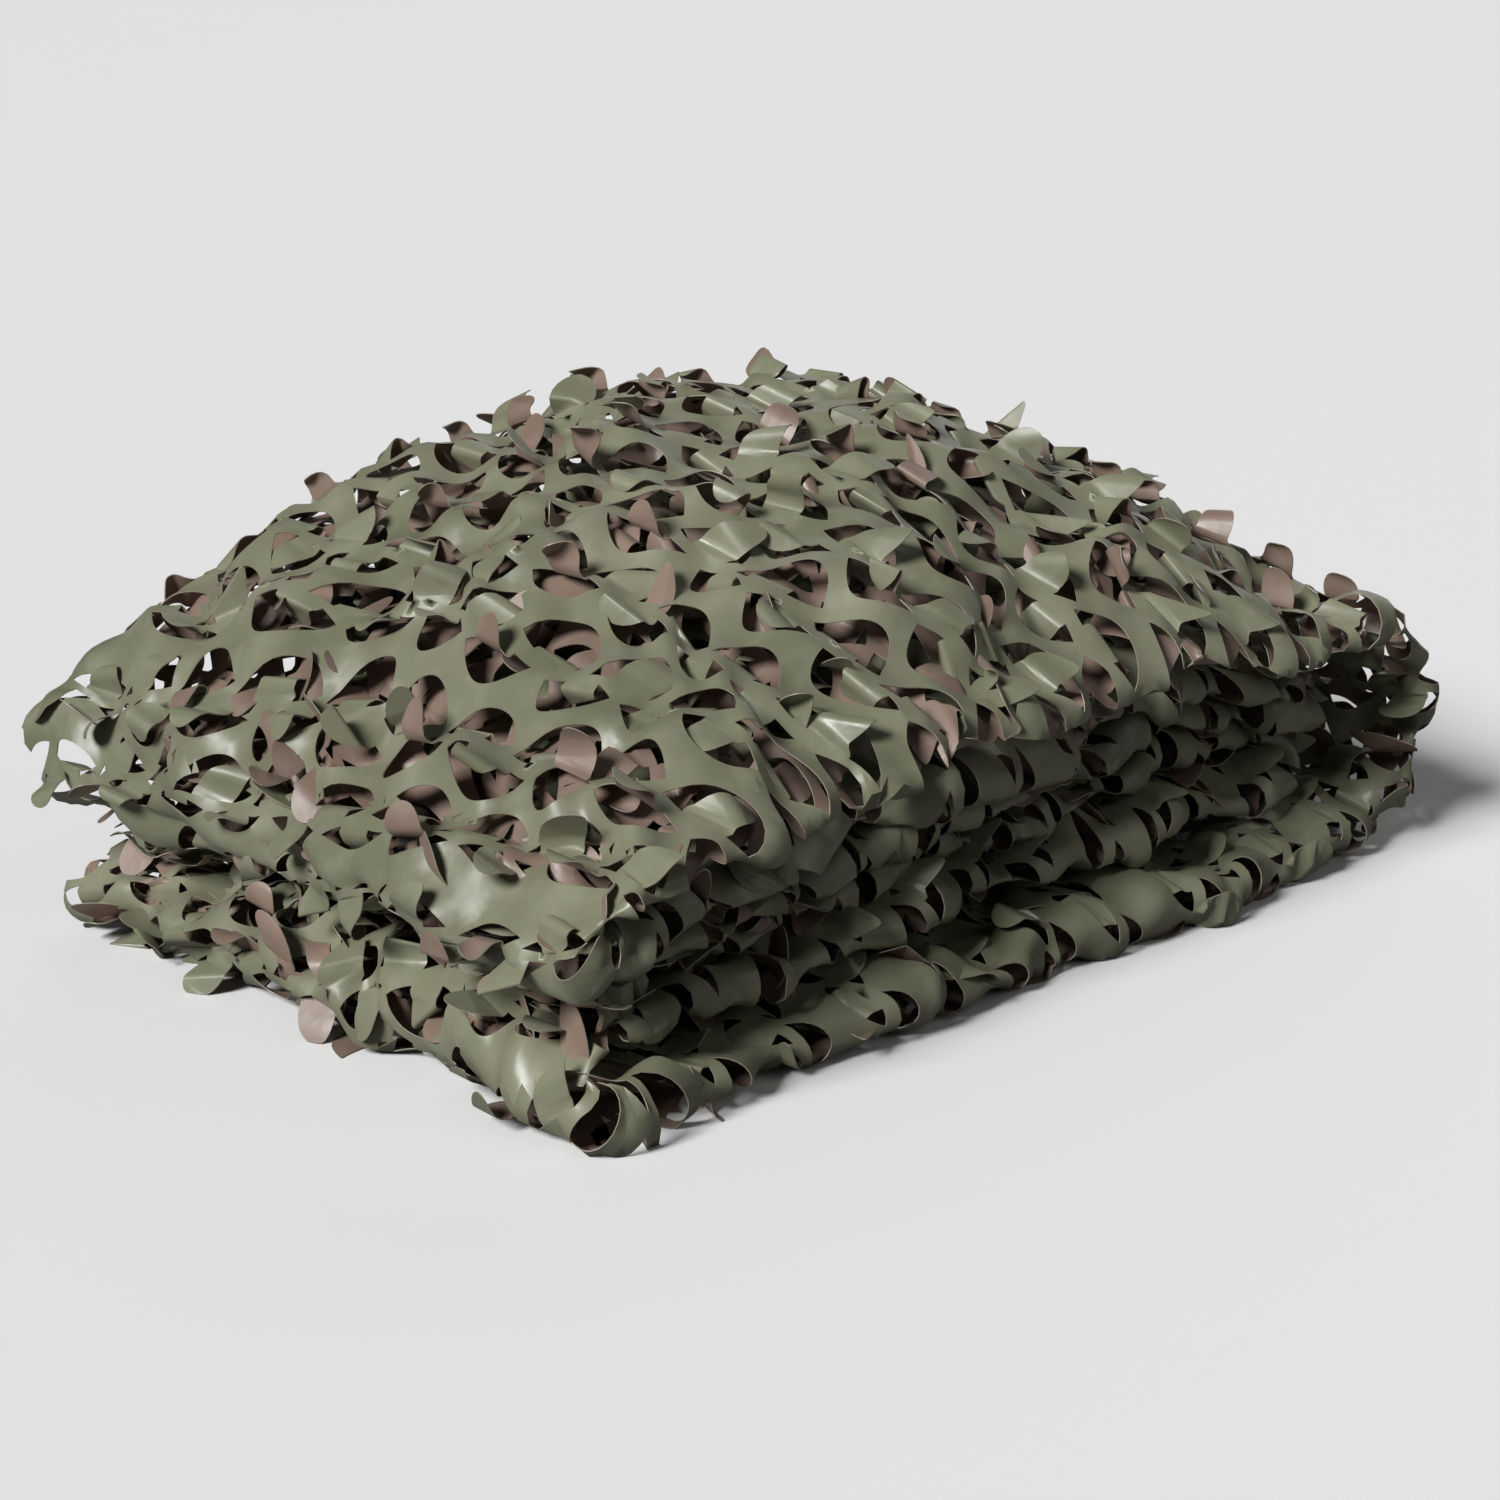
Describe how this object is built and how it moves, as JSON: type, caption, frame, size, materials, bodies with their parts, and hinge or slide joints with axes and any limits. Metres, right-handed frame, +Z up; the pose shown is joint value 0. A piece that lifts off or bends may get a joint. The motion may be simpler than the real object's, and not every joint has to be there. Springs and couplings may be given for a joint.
{
  "type": "camouflage net",
  "caption": "Incised camouflage net, folded in half and over into a low rounded pile, with curled leaf-shaped cuts.",
  "frame": {"origin": "middle of the underside's bounding box, on the floor that the pile lies on", "axes": "+X along the pile towards its wide open fold, +Y away from its long folded side, +Z up"},
  "size_m": [0.949, 0.6194, 0.3686],
  "materials": {
    "green_film": "satin coated film, olive green outside and brown inside"
  },
  "bodies": {
    "root": {"net": "green_film"}
  },
  "joints": []
}
